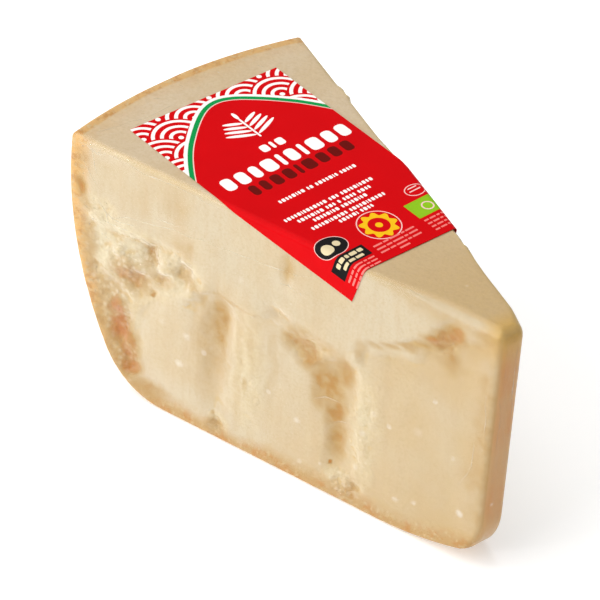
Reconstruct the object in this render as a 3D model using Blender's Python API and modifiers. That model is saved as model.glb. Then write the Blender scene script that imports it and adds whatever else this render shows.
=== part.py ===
"""A chunk of hard cheese in its clear film, with the paper label stuck over its top.

The chunk is a sector of half a wheel: a flat sawn top, a bulging rind at the back, two cut faces that were
started with a wire and then split, and a narrow face where the wheel's middle was cut away.
Metres, +Z up. The chunk is shaped round the wheel's axis, with the tip towards +X, and is then moved so that
the origin is at the middle of its underside.
"""

import math

import bmesh
import bpy
import numpy as np
from mathutils import noise

MM = 0.001

# The wheel that the chunk comes from
WHEEL_RADIUS = 0.2212
CHUNK_HEIGHT = 0.114
BELLY_HEIGHT = 0.100
BARREL_RADIUS = 0.180
FOOT_RADIUS = 0.032
DISH_RADIUS = 0.070
DISH_DEPTH = 0.006
DISH_SPAN = 0.040
RIND_THICKNESS = 0.009

# How it was cut
CUT_ANGLE = math.radians(30)
TIP_DISTANCE = 0.0218
TIP_ROLL_HEIGHT = 0.023
TIP_ROLL_DEPTH = 0.0115
CUT_EDGE = 0.0020
SHARP_EDGE = 0.0013
SOFT_EDGE = 0.0060
TIP_EDGE = 0.0030
SOFT_FROM = 0.085
SOFT_TO = 0.045

# The label: length towards the tip, and its two long edges either side of the middle line
LABEL_BACK = -0.2010
LABEL_FRONT = -0.0808
LABEL_NEAR = -0.0381
LABEL_FAR = 0.0347
LABEL_THICKNESS = 0.0002
LABEL_GAP = 0.0003
LABEL_FAR_STAND_OFF = 0.0023

# How finely the solids are made
PROFILE_STEPS = 10
WHEEL_STEPS = 144
MERGE_DISTANCE = 0.00005
VOXEL = 0.0021
CHUNK_FACES = 8600
SETTLE_STEPS = 6
PROBE = 0.0001
LEAST_STEEPNESS = 0.3
LEVEL_REACH = 0.0002
BEND_STEPS = 5

HALF_SINE = math.sin(CUT_ANGLE / 2)
HALF_COSINE = math.cos(CUT_ANGLE / 2)
BARREL_CENTRE = WHEEL_RADIUS - BARREL_RADIUS
FOOT_REACH = math.sqrt((BARREL_RADIUS - FOOT_RADIUS) ** 2 - (BELLY_HEIGHT - FOOT_RADIUS) ** 2)
FOOT_CENTRE = BARREL_CENTRE + FOOT_REACH

# The split faces, in millimetres: distance from the wheel's axis, height above the base.
# Above its lip the face is the smooth cut of the wire, and below it the cheese was split and lies deeper.
NEAR_LIP = [(24, 114), (36, 109), (43, 104), (50, 96), (57, 91), (70, 85), (80, 80), (87, 70), (92, 70),
            (100, 72), (116, 74), (124, 76), (133, 69), (153, 71), (160, 77), (166, 83), (176, 85), (188, 80),
            (212, 84)]
FAR_LIP = [(24, 92), (45, 88), (60, 74), (82, 66), (104, 78), (128, 72), (150, 60), (172, 66), (190, 78),
           (212, 72)]
SPLIT_DEPTH = 1.8
LIP_HEIGHT = 9.0

# Hollows (deeper) and ridges (prouder): name, distance, height, half width, half height, depth.
NEAR_FORMS = [
    ("smooth panel by the tip", 54, 50, 24, 40, -0.8),
    ("rough ridge by the tip", 80, 40, 7, 32, -1.5),
    ("long hollow", 92, 34, 7, 20, 2.6),
    ("hollow under the lip, tip side", 97, 57, 8, 9, 2.2),
    ("hollow under the lip, rind side", 110, 64, 8, 6, 2.6),
    ("smooth middle panel", 112, 30, 12, 24, -0.6),
    ("rough middle ridge", 135, 38, 10, 34, -1.9),
    ("valley beside the middle ridge", 150, 48, 5, 20, 2.6),
    ("smooth panel by the rind", 168, 34, 14, 24, -0.8),
    ("crumbled hollow, low", 185, 57, 8, 6, 2.4),
    ("crumbled hollow, middle", 171, 67, 7, 4, 2.4),
    ("crumbled hollow, high", 162, 77, 4, 5, 1.4),
    ("crumbled hollow by the rind", 183, 74, 4, 6, 1.8),
    ("curd lump, high", 176, 76, 4, 4, -1.4),
    ("curd lump by the rind", 199, 60, 6, 7, -1.6),
    ("pit by the rind, high", 215, 92, 3, 4, 1.2),
    ("pit by the rind, middle", 193, 34, 6, 8, 2.0),
    ("pit by the rind, low", 190, 18, 5, 6, 1.6),
    ("torn spot near the tip", 45, 100, 6, 7, 2.2),
    ("tail of the torn spot", 53, 93, 7, 4, 1.6),
    ("dent under the label's corner", 118, 98, 3, 5, 0.7),
    ("dent near the rind", 170, 102, 4, 6, 0.4),
    ("chipped foot, middle", 147, 5, 4, 4, 1.6),
    ("chipped foot, tip side", 82, 7, 5, 4, 1.6),
]
FAR_FORMS = [
    ("swelling below the top edge", 103, 96, 30, 26, -3.4),
    ("rough ridge by the tip", 66, 34, 9, 30, -2.4),
    ("deep hollow beside it", 82, 44, 6, 14, 4.0),
    ("rough middle ridge", 122, 36, 9, 34, -2.2),
    ("valley behind it", 138, 40, 6, 20, 2.8),
    ("broad ridge by the rind", 166, 34, 12, 30, -2.4),
    ("crumbled hollow, high", 150, 66, 9, 5, 2.6),
    ("crumbled hollow, low", 188, 52, 8, 8, 2.8),
    ("pit by the rind", 200, 40, 5, 6, 2.6),
    ("notch in the top edge", 178, 112, 3, 5, -1.6),
    ("chipped foot", 108, 7, 8, 4, 1.6),
]
# Each form is at full depth in its middle and dies away at this many times its half size.
FORM_REACH = 1.5
# The far face may stand proud of its flat cut by this much, and no more.
FAR_SWELLING = 2.1
# The split face's own waves, and how far behind the tip's cut they have come up to full height.
UNEVENNESS = 1.2
UNEVEN_LENGTH = 17.0
BREAK_UNEVENNESS = 0.7
BREAK_LENGTH = 7.0
NEAR_WAVES = 3.1
FAR_WAVES = 8.4
TIP_CALM = 16.0


def clear_scene():
    for thing in list(bpy.data.objects):
        bpy.data.objects.remove(thing, do_unlink=True)


def plain_material(name, colour, roughness):
    material = bpy.data.materials.new(name)
    material.use_nodes = True
    shader = material.node_tree.nodes["Principled BSDF"]
    shader.inputs["Base Color"].default_value = (*colour, 1)
    shader.inputs["Roughness"].default_value = roughness
    shader.inputs["Metallic"].default_value = 0
    material.diffuse_color = (*colour, 1)
    return material


def new_collection(name):
    collection = bpy.data.collections.new(name)
    bpy.context.scene.collection.children.link(collection)
    return collection


def new_object(name, shape, collection):
    mesh = bpy.data.meshes.new(name)
    shape.to_mesh(mesh)
    shape.free()
    thing = bpy.data.objects.new(name, mesh)
    collection.objects.link(thing)
    return thing


def evaluated_mesh(thing):
    """The object's mesh with its modifiers done."""
    depsgraph = bpy.context.evaluated_depsgraph_get()
    return bpy.data.meshes.new_from_object(thing.evaluated_get(depsgraph))


def ease(value):
    """0 below 0, 1 above 1, and smooth between."""
    value = np.clip(value, 0, 1)
    return value * value * (3 - 2 * value)


def rounded(distances, radius):
    """How far a point is outside faces that meet in an edge of this radius; negative inside."""
    over = [distance + radius for distance in distances]
    outside = np.sqrt(sum(np.maximum(value, 0) ** 2 for value in over))
    return np.minimum(np.maximum.reduce(over), 0) + outside - radius


def wheel_distance(radius, height):
    """How far a point is outside the wheel's turned side and its dished face."""
    barrel = np.hypot(radius - BARREL_CENTRE, height - BELLY_HEIGHT) - BARREL_RADIUS
    dish = DISH_DEPTH * (np.maximum(DISH_RADIUS - radius, 0) / DISH_SPAN) ** 2
    foot = np.hypot(radius - FOOT_CENTRE, height - FOOT_RADIUS) - FOOT_RADIUS
    slope = (FOOT_RADIUS - BELLY_HEIGHT) / FOOT_REACH
    in_foot = (radius > FOOT_CENTRE) & (height - FOOT_RADIUS < slope * (radius - FOOT_CENTRE))
    return np.where(in_foot, foot, np.maximum(barrel, dish - height))


def split_relief(points, lip, forms, wave_place):
    """How deep a split face lies behind its flat cut, in metres."""
    distance = np.hypot(points[:, 0], points[:, 1]) / MM
    height = points[:, 2] / MM
    below_lip = ease((np.interp(distance, *np.transpose(lip)) - height) / LIP_HEIGHT)
    depth = SPLIT_DEPTH * below_lip
    for _name, place, level, half_width, half_height, amount in forms:
        spread = np.hypot((distance - place) / half_width, (height - level) / half_height)
        depth += amount * ease(FORM_REACH - spread)
    for length, amount in ((UNEVEN_LENGTH, UNEVENNESS), (BREAK_LENGTH, BREAK_UNEVENNESS)):
        waves = [noise.noise((d / length, h / length, wave_place)) for d, h in zip(distance, height)]
        depth += amount * below_lip * np.array(waves)
    inside_rind = ease(-wheel_distance(distance * MM, height * MM) / RIND_THICKNESS)
    behind_tip = ease((distance - TIP_DISTANCE / MM) / TIP_CALM)
    return depth * MM * inside_rind * behind_tip


def chunk_distance(points, near_depth, far_depth):
    """How far points are outside the chunk, round the wheel's axis."""
    x, y, height = points.T
    radius = np.hypot(x, y)
    near_cut = x * HALF_SINE - y * HALF_COSINE + near_depth
    far_cut = x * HALF_SINE + y * HALF_COSINE + far_depth
    roll = TIP_ROLL_DEPTH * (np.maximum(TIP_ROLL_HEIGHT - height, 0) / TIP_ROLL_HEIGHT) ** 2
    tip = x + TIP_DISTANCE + roll
    plan = rounded([near_cut, far_cut, tip], TIP_EDGE)
    sides = rounded([plan, wheel_distance(radius, height)], SHARP_EDGE)
    near_side = ease(0.5 - y / TIP_DISTANCE)
    softness = near_side * ease((SOFT_FROM - radius) / (SOFT_FROM - SOFT_TO))
    top_edge = SHARP_EDGE + (CUT_EDGE - SHARP_EDGE) * near_side + (SOFT_EDGE - CUT_EDGE) * softness
    return rounded([sides, height - CHUNK_HEIGHT], top_edge)


def settle(points):
    """Draws points near the chunk onto its rounded, split surface."""
    depths = (split_relief(points, NEAR_LIP, NEAR_FORMS, NEAR_WAVES),
              np.maximum(split_relief(points, FAR_LIP, FAR_FORMS, FAR_WAVES), -FAR_SWELLING * MM))
    for _step in range(SETTLE_STEPS):
        value = chunk_distance(points, *depths)
        slope = np.empty_like(points)
        for axis in range(3):
            probe = points.copy()
            probe[:, axis] += PROBE
            slope[:, axis] = (chunk_distance(probe, *depths) - value) / PROBE
        steepness = np.maximum((slope ** 2).sum(axis=1), LEAST_STEEPNESS)
        points = points - slope * (value / steepness)[:, None]
    return points


def level(points):
    """Puts what lies next to the flat base or the sawn top exactly on it."""
    for plane in (0, CHUNK_HEIGHT):
        close = np.abs(points[:, 2] - plane) < LEVEL_REACH
        points[close, 2] = plane
    return points


def move_verts(mesh, rule):
    """Gives a mesh's points new places by a rule that takes and returns all of them."""
    places = np.empty(len(mesh.vertices) * 3, dtype=np.float32)
    mesh.vertices.foreach_get("co", places)
    places = rule(places.reshape(-1, 3).astype(float))
    mesh.vertices.foreach_set("co", places.astype(np.float32).ravel())
    mesh.update()


def wedge_cutter(collection):
    """A prism that holds what the two cuts and the tip's cut leave of the wheel."""
    shape = bmesh.new()
    bmesh.ops.create_cube(shape, size=1)
    reach = WHEEL_RADIUS * 1.2
    slant = math.tan(CUT_ANGLE / 2)
    for vert in shape.verts:
        distance = reach if vert.co.x < 0 else TIP_DISTANCE
        side = math.copysign(distance * slant, vert.co.y)
        vert.co = (-distance, side, CHUNK_HEIGHT / 2 + vert.co.z * CHUNK_HEIGHT * 2)
    bmesh.ops.recalc_face_normals(shape, faces=shape.faces)
    cutter = new_object("wedge_cutter", shape, collection)
    cutter.hide_render = True
    cutter.display_type = "WIRE"
    return cutter


def wheel_profile():
    """The half wheel's outline from its axis: sawn top, barrel, foot and dished face, as (distance, height)."""
    tangent = math.atan2(BELLY_HEIGHT - FOOT_RADIUS, FOOT_REACH)
    barrel_top = math.asin((CHUNK_HEIGHT - BELLY_HEIGHT) / BARREL_RADIUS)
    outline = [(0, CHUNK_HEIGHT)]
    for step in range(PROFILE_STEPS + 1):
        turn = barrel_top - (barrel_top + tangent) * step / PROFILE_STEPS
        outline.append((BARREL_CENTRE + BARREL_RADIUS * math.cos(turn),
                        BELLY_HEIGHT + BARREL_RADIUS * math.sin(turn)))
    for step in range(1, PROFILE_STEPS + 1):
        turn = tangent + (math.pi / 2 - tangent) * step / PROFILE_STEPS
        outline.append((FOOT_CENTRE + FOOT_RADIUS * math.cos(turn),
                        FOOT_RADIUS - FOOT_RADIUS * math.sin(turn)))
    for step in range(PROFILE_STEPS + 1):
        distance = DISH_RADIUS * (1 - step / PROFILE_STEPS)
        outline.append((distance, DISH_DEPTH * ((DISH_RADIUS - distance) / DISH_SPAN) ** 2))
    return outline


def half_wheel(collection):
    """The half wheel, turned from its outline."""
    shape = bmesh.new()
    verts = [shape.verts.new((distance, 0, height)) for distance, height in wheel_profile()]
    for pair in zip(verts, verts[1:]):
        shape.edges.new(pair)
    wheel = new_object("half_wheel", shape, collection)
    turned = wheel.modifiers.new("turned", "SCREW")
    turned.steps = WHEEL_STEPS
    turned.render_steps = WHEEL_STEPS
    turned.use_merge_vertices = True
    turned.merge_threshold = MERGE_DISTANCE
    return wheel


def make_chunk(parts, cutters):
    """The half wheel cut to a wedge, made an even mesh, then drawn onto the chunk's own form."""
    blank = half_wheel(cutters)
    cut = blank.modifiers.new("wedge", "BOOLEAN")
    cut.operation = "INTERSECT"
    cut.solver = "EXACT"
    cut.object = wedge_cutter(cutters)
    even = blank.modifiers.new("even mesh", "REMESH")
    even.mode = "VOXEL"
    even.voxel_size = VOXEL
    mesh = evaluated_mesh(blank)
    bpy.data.objects.remove(blank)
    move_verts(mesh, settle)

    fine = bpy.data.objects.new("fine_chunk", mesh)
    cutters.objects.link(fine)
    lighter = fine.modifiers.new("fewer faces", "DECIMATE")
    lighter.use_collapse_triangulate = True
    lighter.ratio = CHUNK_FACES / (2 * len(mesh.polygons))
    chunk = bpy.data.objects.new("cheese_in_film", evaluated_mesh(fine))
    parts.objects.link(chunk)
    bpy.data.objects.remove(fine)
    move_verts(chunk.data, level)
    chunk.data.materials.append(plain_material("hard_cheese", (0.77, 0.60, 0.37), 0.45))
    chunk.data.shade_smooth()
    return chunk


def label_bend():
    """The bend's radius at the middle of the paper."""
    return CUT_EDGE + LABEL_GAP + LABEL_THICKNESS / 2


def past_bend_start(x, y, side):
    """How far a point of the flat label is past the line where it starts to bend down over a cut face."""
    stand_off = LABEL_FAR_STAND_OFF if side > 0 else 0
    return x * HALF_SINE + side * y * HALF_COSINE - stand_off + CUT_EDGE


def wrap(place):
    """Takes a point of the flat label to where it lies: flat on top, round the edge, or down the face."""
    for side in (-1, 1):
        past = past_bend_start(place.x, place.y, side)
        if past > 0:
            turn = min(past / label_bend(), math.pi / 2)
            inward = past - label_bend() * math.sin(turn)
            hanging = max(past - label_bend() * math.pi / 2, 0)
            place.x -= inward * HALF_SINE
            place.y -= side * inward * HALF_COSINE
            place.z -= label_bend() * (1 - math.cos(turn)) + hanging


def make_label(parts):
    """A flat sheet, creased where it leaves the top, wrapped over the edges and given its thickness."""
    sheet = bmesh.new()
    bmesh.ops.create_grid(sheet, x_segments=1, y_segments=1, size=0.5)
    for vert in sheet.verts:
        vert.co.x = LABEL_BACK if vert.co.x < 0 else LABEL_FRONT
        vert.co.y = LABEL_NEAR if vert.co.y < 0 else LABEL_FAR
        vert.co.z = CHUNK_HEIGHT + LABEL_GAP + LABEL_THICKNESS / 2
    for side in (-1, 1):
        outward = np.array([HALF_SINE, side * HALF_COSINE, 0])
        for step in range(BEND_STEPS + 1):
            past = label_bend() * math.pi / 2 * step / BEND_STEPS
            crease = outward * (past - past_bend_start(0, 0, side))
            whole = sheet.verts[:] + sheet.edges[:] + sheet.faces[:]
            bmesh.ops.bisect_plane(sheet, geom=whole, dist=1e-6, plane_co=crease, plane_no=outward)
    for vert in sheet.verts:
        wrap(vert.co)
    label = new_object("paper_label", sheet, parts)
    paper = label.modifiers.new("paper", "SOLIDIFY")
    paper.thickness = LABEL_THICKNESS
    paper.offset = 0
    paper.use_even_offset = True
    label.data.materials.append(plain_material("printed_paper", (0.73, 0.005, 0.007), 0.4))
    return label


def centre_on_base(things):
    """Moves the meshes so that the origin is in the middle of the underside of all of them."""
    corners = []
    for thing in things:
        mesh = evaluated_mesh(thing)
        corners += [vert.co.copy() for vert in mesh.vertices]
        bpy.data.meshes.remove(mesh)
    low = np.min(corners, axis=0)
    high = np.max(corners, axis=0)
    for thing in things:
        thing.location = (-(low[0] + high[0]) / 2, -(low[1] + high[1]) / 2, -low[2])


clear_scene()
chunk_collection = new_collection("cheese_chunk")
cutter_collection = new_collection("cutters")
centre_on_base([make_chunk(chunk_collection, cutter_collection), make_label(chunk_collection)])
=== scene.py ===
"""A chunk of hard cheese sealed in clear film, with a printed paper label folded over its top edge."""

import math
import random

import bmesh
import bpy
import numpy as np
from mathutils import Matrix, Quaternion, Vector, geometry, noise


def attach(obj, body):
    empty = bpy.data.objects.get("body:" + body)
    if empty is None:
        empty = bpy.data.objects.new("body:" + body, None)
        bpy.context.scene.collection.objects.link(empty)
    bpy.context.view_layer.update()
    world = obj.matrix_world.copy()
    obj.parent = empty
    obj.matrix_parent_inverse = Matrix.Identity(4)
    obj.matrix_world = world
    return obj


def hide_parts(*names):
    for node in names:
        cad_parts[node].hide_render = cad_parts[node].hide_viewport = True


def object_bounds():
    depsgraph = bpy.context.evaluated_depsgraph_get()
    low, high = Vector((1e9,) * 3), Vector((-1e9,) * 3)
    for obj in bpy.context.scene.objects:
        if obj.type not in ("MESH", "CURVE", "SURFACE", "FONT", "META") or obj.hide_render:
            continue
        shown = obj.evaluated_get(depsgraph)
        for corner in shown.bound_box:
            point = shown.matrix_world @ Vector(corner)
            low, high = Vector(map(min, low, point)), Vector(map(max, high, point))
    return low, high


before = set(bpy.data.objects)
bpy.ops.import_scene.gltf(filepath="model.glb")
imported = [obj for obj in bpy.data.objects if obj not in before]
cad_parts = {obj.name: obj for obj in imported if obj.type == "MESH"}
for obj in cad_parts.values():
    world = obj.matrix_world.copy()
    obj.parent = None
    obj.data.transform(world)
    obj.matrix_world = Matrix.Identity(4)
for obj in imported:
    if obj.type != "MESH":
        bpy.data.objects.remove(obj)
solid_low, solid_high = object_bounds()

# ---------------------------------------------------------------------------------------------------
# The cheese: a wedge of a hard pressed cheese that has aged for two years. Its top is sawn, its back is
# the waxy rind, and its sides were started with a wire and then split along the grain of the curd, so
# that below the wire's smooth cut they are torn, with ridges, hollows and crumbs.
# ---------------------------------------------------------------------------------------------------
MM = 0.001

# Sizes in millimetres. The wheel is a barrel with a rounded foot and a flat face that has dished a little.
# The chunk is a 30 degree sector of its lower half, whose thin tip was cut off by a cut that rolls in at the
# foot.
WHEEL_RADIUS = 221.2
CHUNK_HEIGHT = 114.0
BELLY_HEIGHT = 100.0
BARREL_RADIUS = 180.0
FOOT_RADIUS = 32.0
DISH_RADIUS = 70.0
DISH_DEPTH = 6.0
DISH_SPAN = 40.0
HALF_ANGLE = math.radians(15)
TIP_DISTANCE = 21.8
TIP_ROLL_HEIGHT = 23.0
TIP_ROLL_DEPTH = 11.5
HALF_SINE = math.sin(HALF_ANGLE)
HALF_COSINE = math.cos(HALF_ANGLE)
BARREL_CENTRE = WHEEL_RADIUS - BARREL_RADIUS
FOOT_REACH = math.sqrt((BARREL_RADIUS - FOOT_RADIUS) ** 2 - (BELLY_HEIGHT - FOOT_RADIUS) ** 2)
FOOT_CENTRE = BARREL_CENTRE + FOOT_REACH

# How round the edges are. The top edge is soft on the near side close to the tip, and all round the tip
# itself: it softens between these distances from the wheel's axis.
SHARP_EDGE = 1.3
CUT_EDGE = 2.0
SOFT_EDGE = 6.5
TIP_EDGE = 3.0
SOFT_FROM = 85.0
SOFT_TO = 45.0
TIP_SOFT_FROM = 36.0
TIP_SOFT_TO = 21.0

# The wheel's axis, which the wedge points towards, in the frame's metres.
wheel_axis = Vector((solid_low.x + WHEEL_RADIUS * MM, 0, 0))

# The lip where the wire's smooth cut ends and the split begins, as places on the split sides: distance from
# the wheel's axis and height above the base, in millimetres. It wanders off this line by LIP_WANDER's first
# number, in waves as long as its second.
NEAR_LIP = [(24, 114), (36, 109), (43, 104), (50, 96), (57, 91), (70, 85), (80, 80), (87, 70),
            (92, 70), (100, 72), (108, 73), (116, 74), (124, 76), (133, 69), (144, 70), (153, 71),
            (160, 77), (166, 83), (176, 85), (188, 80), (212, 84)]
FAR_LIP = [(24, 92), (45, 88), (60, 74), (82, 66), (104, 78), (128, 72), (150, 60), (172, 66), (190, 78),
           (212, 72)]
LIP_WANDER = (2.0, 8.0)
LIP_HEIGHT = 9.0
SPLIT_DEPTH = 1.8
FAR_SWELLING = 2.1
RIND_THICKNESS = 9.0
TIP_MARGIN = 16.0

# Relief of the split sides, as (height, width): slow waves, waves of the torn cheese, and its rounded
# curds, whose upper third stands out of the side. Below the lip all the cheese is at least a little torn.
SLOW_WAVE = (0.6, 19.0)
TORN_WAVES = [(0.5, 7.0), (0.2, 3.2)]
CURDS = [(2.1, 7.5), (0.9, 3.4)]
CURD_LEVEL = 0.65
LEAST_TORN = 0.15

# Forms of the split sides: distance, height, half width, half height, lean in degrees, and depth, which is
# negative for a ridge. Their borders stray by this much.
FORM_STRAY = 2.4
NEAR_FORMS = [
    (54, 50, 24, 40, 0, -0.8),       # smooth panel by the tip
    (80, 40, 7, 32, 0, -1.0),        # grainy ridge beside it
    (96, 54, 5, 10, 15, 1.0),        # long hollow beside the ridge, in two parts
    (92, 30, 4, 11, 0, 0.9),
    (104, 60, 9, 1.5, -33, -0.9),    # slanting rib over the next panel
    (109, 63, 7, 4.5, 25, 1.2),      # hollows under the lip
    (120, 74, 4, 2.5, 20, 0.6),
    (101, 69, 5, 2.5, -10, 0.7),
    (110, 32, 13, 26, 0, -0.4),      # smooth middle panel
    (135, 38, 9, 34, 0, -1.1),       # grainy middle ridge
    (168, 34, 15, 24, -8, -0.6),     # smooth panel by the rind
    (159, 66, 2.6, 7, 43, -1.9),     # slanting lump above it
    (173, 71, 6, 5, 10, -1.3),       # curd lumps, and the gaps between them
    (194, 65, 7, 5.5, 20, -1.4),
    (202, 57, 4.5, 5, 0, -1.0),
    (208, 76, 4, 5, 0, -0.7),
    (192, 45, 5, 4, 0, -0.7),
    (182, 72, 2, 6, -15, 0.8),
    (177, 63, 6, 1.8, -20, 0.8),
    (187, 55, 6, 5, 0, 1.0),
    (181, 54, 1.4, 1.3, 0, 1.0),
    (195, 37, 5, 4, 20, 0.6),        # worn places by the rind
    (196, 26, 4, 5, 10, 0.5),
    (189, 15.5, 4, 5, 0, 0.5),
    (153, 84, 8, 8, 0, -0.5),        # a buried curd that shows through the strip
    (215, 92, 3, 4, 0, 0.6),
    (44.5, 102.5, 4.5, 6.5, 30, 1.5),        # torn spot near the tip, and its tail
    (53.5, 94.5, 7.5, 2.6, -22, 0.9),
    (118, 98, 2.2, 5, 10, 0.6),      # dents and swellings of the smooth strip
    (108, 88, 6, 5, 0, -0.4),
    (170, 102, 4, 6, 0, 0.25),
    (147, 5, 3, 4, 0, 1.0),          # chips along the foot
    (89, 8, 5, 4, 0, -0.6),
    (82, 6, 3, 5, 0, 0.8),
]
FAR_FORMS = [
    (103, 96, 30, 26, 0, -3.4),      # swelling below the top edge
    (66, 34, 9, 30, 0, -2.4),        # rough ridge by the tip
    (82, 44, 6, 14, 0, 4.0),         # deep hollow beside it
    (122, 36, 9, 34, 0, -2.2),       # rough middle ridge
    (138, 40, 6, 20, 0, 2.8),        # valley behind it
    (166, 34, 12, 30, 0, -2.4),      # broad ridge by the rind
    (150, 66, 9, 5, 0, 2.6),         # crumbled hollows
    (188, 52, 8, 8, 0, 2.8),
    (200, 40, 5, 6, 0, 2.6),
    (178, 112, 3, 5, 0, -1.6),       # notch in the top edge
    (108, 7, 8, 4, 0, 1.6),          # chip along the foot
]

# Walls where one flake of curd parted from the next: a line of (distance, height), how deep the cheese is
# along it, how far that depth reaches on its left, and how far on its right.
NEAR_WALLS = [
    ([(147.5, 18), (146.5, 38), (146, 56), (147, 67)], 1.3, 11, 8),             # valley by the middle ridge
    ([(88, 15), (87, 24), (86.5, 36), (87.5, 46), (87, 56), (88, 66)], 1.4, 11, 8),   # long hollow
    ([(124, 77), (116, 74), (108, 73), (100, 72), (92, 69)], 0.6, 5, 8),        # lip over the hollows
    ([(87, 71.5), (83.5, 76), (80, 80), (72, 84), (65.5, 87), (59, 90.5), (50, 96)], 0.7, 4, 8),  # crease
    ([(154, 70.5), (144, 70.2), (133, 69)], 0.7, 2.5, 6),                       # lip over the middle ridge
    ([(163, 59), (158, 66), (152.5, 70)], 1.0, 3, 6),                           # under a slanting lump
    ([(162, 76), (166, 70), (172, 65), (180, 61)], 0.8, 4, 4),                  # gaps between the crumbs
    ([(178.5, 80), (185, 66)], 0.6, 4, 4),
    ([(176, 58), (181, 46), (186, 34), (189, 26)], 0.5, 7, 4),                  # edge of the rind's panel
]
FAR_WALLS = [
    ([(74, 60), (76, 40), (73, 16)], 2.2, 2, 10),
    ([(132, 70), (131, 48), (133, 18)], 2.0, 2, 10),
    ([(160, 60), (140, 62), (112, 74), (96, 74)], 1.4, 6, 2),
]

# Where the torn cheese is crumbly: distance, height, half width, half height, how strongly.
NEAR_CRUMBS = [(188, 66, 20, 15, 1.0), (170, 73, 12, 8, 1.0), (197, 42, 9, 20, 1.0), (206, 82, 9, 8, 0.8),
               (208, 60, 5, 24, 0.8), (108, 66, 12, 8, 0.5), (134, 38, 9, 34, 0.5), (79, 38, 8, 32, 0.6),
               (86, 8, 8, 6, 1.0), (147, 6, 5, 5, 0.8), (46, 98, 7, 8, 0.4), (192, 18, 7, 12, 0.8)]
FAR_CRUMBS = [(122, 40, 14, 34, 0.8), (188, 54, 16, 20, 0.9), (82, 46, 10, 18, 0.6), (150, 66, 14, 9, 0.8),
              (108, 8, 12, 7, 0.8)]

# Where the paste is painted amber: the cheese's own stains, and painted shade in its hollows, gaps and
# under overhangs. As above, where 1 is amber and 2 is a rusty brown.
NEAR_STAINS_AND_SHADE = [
    # Hollows under the lip, the long hollow below them, and the shaded side of the ridge: painted shade.
    (120, 74, 5, 3, 0.45), (111, 66, 7, 6, 0.95), (105, 61, 7, 5, 1.05), (100, 69, 6, 3, 0.5),
    (91, 59, 5, 7, 1.0), (98, 53, 5, 8, 1.2), (101, 44, 4, 5, 0.8), (95, 47, 5, 6, 1.1),
    (93, 40, 5, 7, 1.15), (91, 27, 4, 9, 1.0), (86, 44, 2.5, 16, 0.4), (83, 76, 2.2, 5, 0.6),
    # Painted shade: valley by the middle ridge, gap under the slanting lump, lip; and streaks down the
    # ridge.
    (148, 55, 4.5, 14, 0.95), (152, 45, 8, 22, 0.6), (144, 44, 2.5, 18, 0.35), (157, 63, 2, 5, 0.6),
    (143, 69.6, 11, 0.9, 0.7), (137.5, 36, 1.8, 26, 0.3), (131.5, 48, 1.4, 14, 0.25), (133, 33, 1.0, 3, 0.7),
    (122, 48, 1.6, 18, 0.3),
    # Torn spot near the tip and the crease that runs on from it, partly painted shade; and amber along the
    # tip's edges, a painted highlight: the warm tint of the light along them.
    (43, 104, 4.5, 5.5, 1.5), (47, 99.5, 4.5, 4, 1.3), (51, 95.5, 4.5, 3, 1.4), (44, 94, 4, 8, 0.9),
    (56, 92.3, 3.5, 1.8, 0.9), (62.5, 88.8, 4, 1.6, 0.8), (69, 85.6, 4, 1.5, 0.7), (76, 82, 4, 1.7, 0.6),
    (82, 78, 2.5, 3, 0.5), (47, 89, 10, 2, 0.45), (29, 89, 3, 6, 0.6), (24, 56, 7, 56, 0.7),
    (45, 113, 26, 5, 0.35), (27, 108, 9, 10, 0.55),
    # Dents in the smooth strip, partly painted shade.
    (118.5, 98, 2.4, 6, 0.7), (169.5, 102, 5, 7, 0.3), (163.5, 84, 2.2, 5, 0.5), (186, 97, 3, 8, 0.2),
    (151, 92, 2, 4, 0.2),
    # Painted shade in the gaps between the curd lumps and in a small hole.
    (167, 83, 4, 4, 0.4), (163, 69, 7, 2.5, 0.7), (177, 63, 6, 2.5, 0.8), (182, 72, 2.5, 7, 0.7),
    (190.5, 58, 7.5, 6.5, 1.3), (198, 50, 5, 6, 0.6), (181.2, 54, 1.1, 1.0, 2.0),
    # Worn places by the rind, and the border of the rind layer.
    (197, 39, 5, 6, 1.8), (195.8, 30, 5, 8, 2.1), (191.5, 21, 4.5, 7, 1.5), (189, 14, 5, 5, 1.6),
    (204, 48, 3, 7, 0.9), (210, 62, 2.5, 9, 0.7), (216, 91, 2.5, 4, 1.4), (214, 102, 3, 6, 0.6),
    (213, 84, 2.5, 4, 0.7), (211, 68, 3, 6, 0.7), (205, 34, 3, 14, 0.8), (199, 17, 4, 8, 0.7),
    # Chips and small holes along the foot, partly painted shade.
    (82, 7.5, 2, 4, 0.7), (147.5, 6, 3, 3, 0.8), (94, 13.2, 1.0, 0.9, 2.0), (149, 11, 0.9, 0.9, 1.2),
    (180, 6, 8, 4, 0.9),
]
FAR_STAINS_AND_SHADE = [(82, 44, 5, 14, 1.0), (138, 40, 5, 18, 0.7), (150, 66, 8, 4, 0.9), (188, 52, 7, 7, 1.2),
              (200, 40, 4, 5, 1.8), (60, 84, 6, 4, 0.8)]

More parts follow.
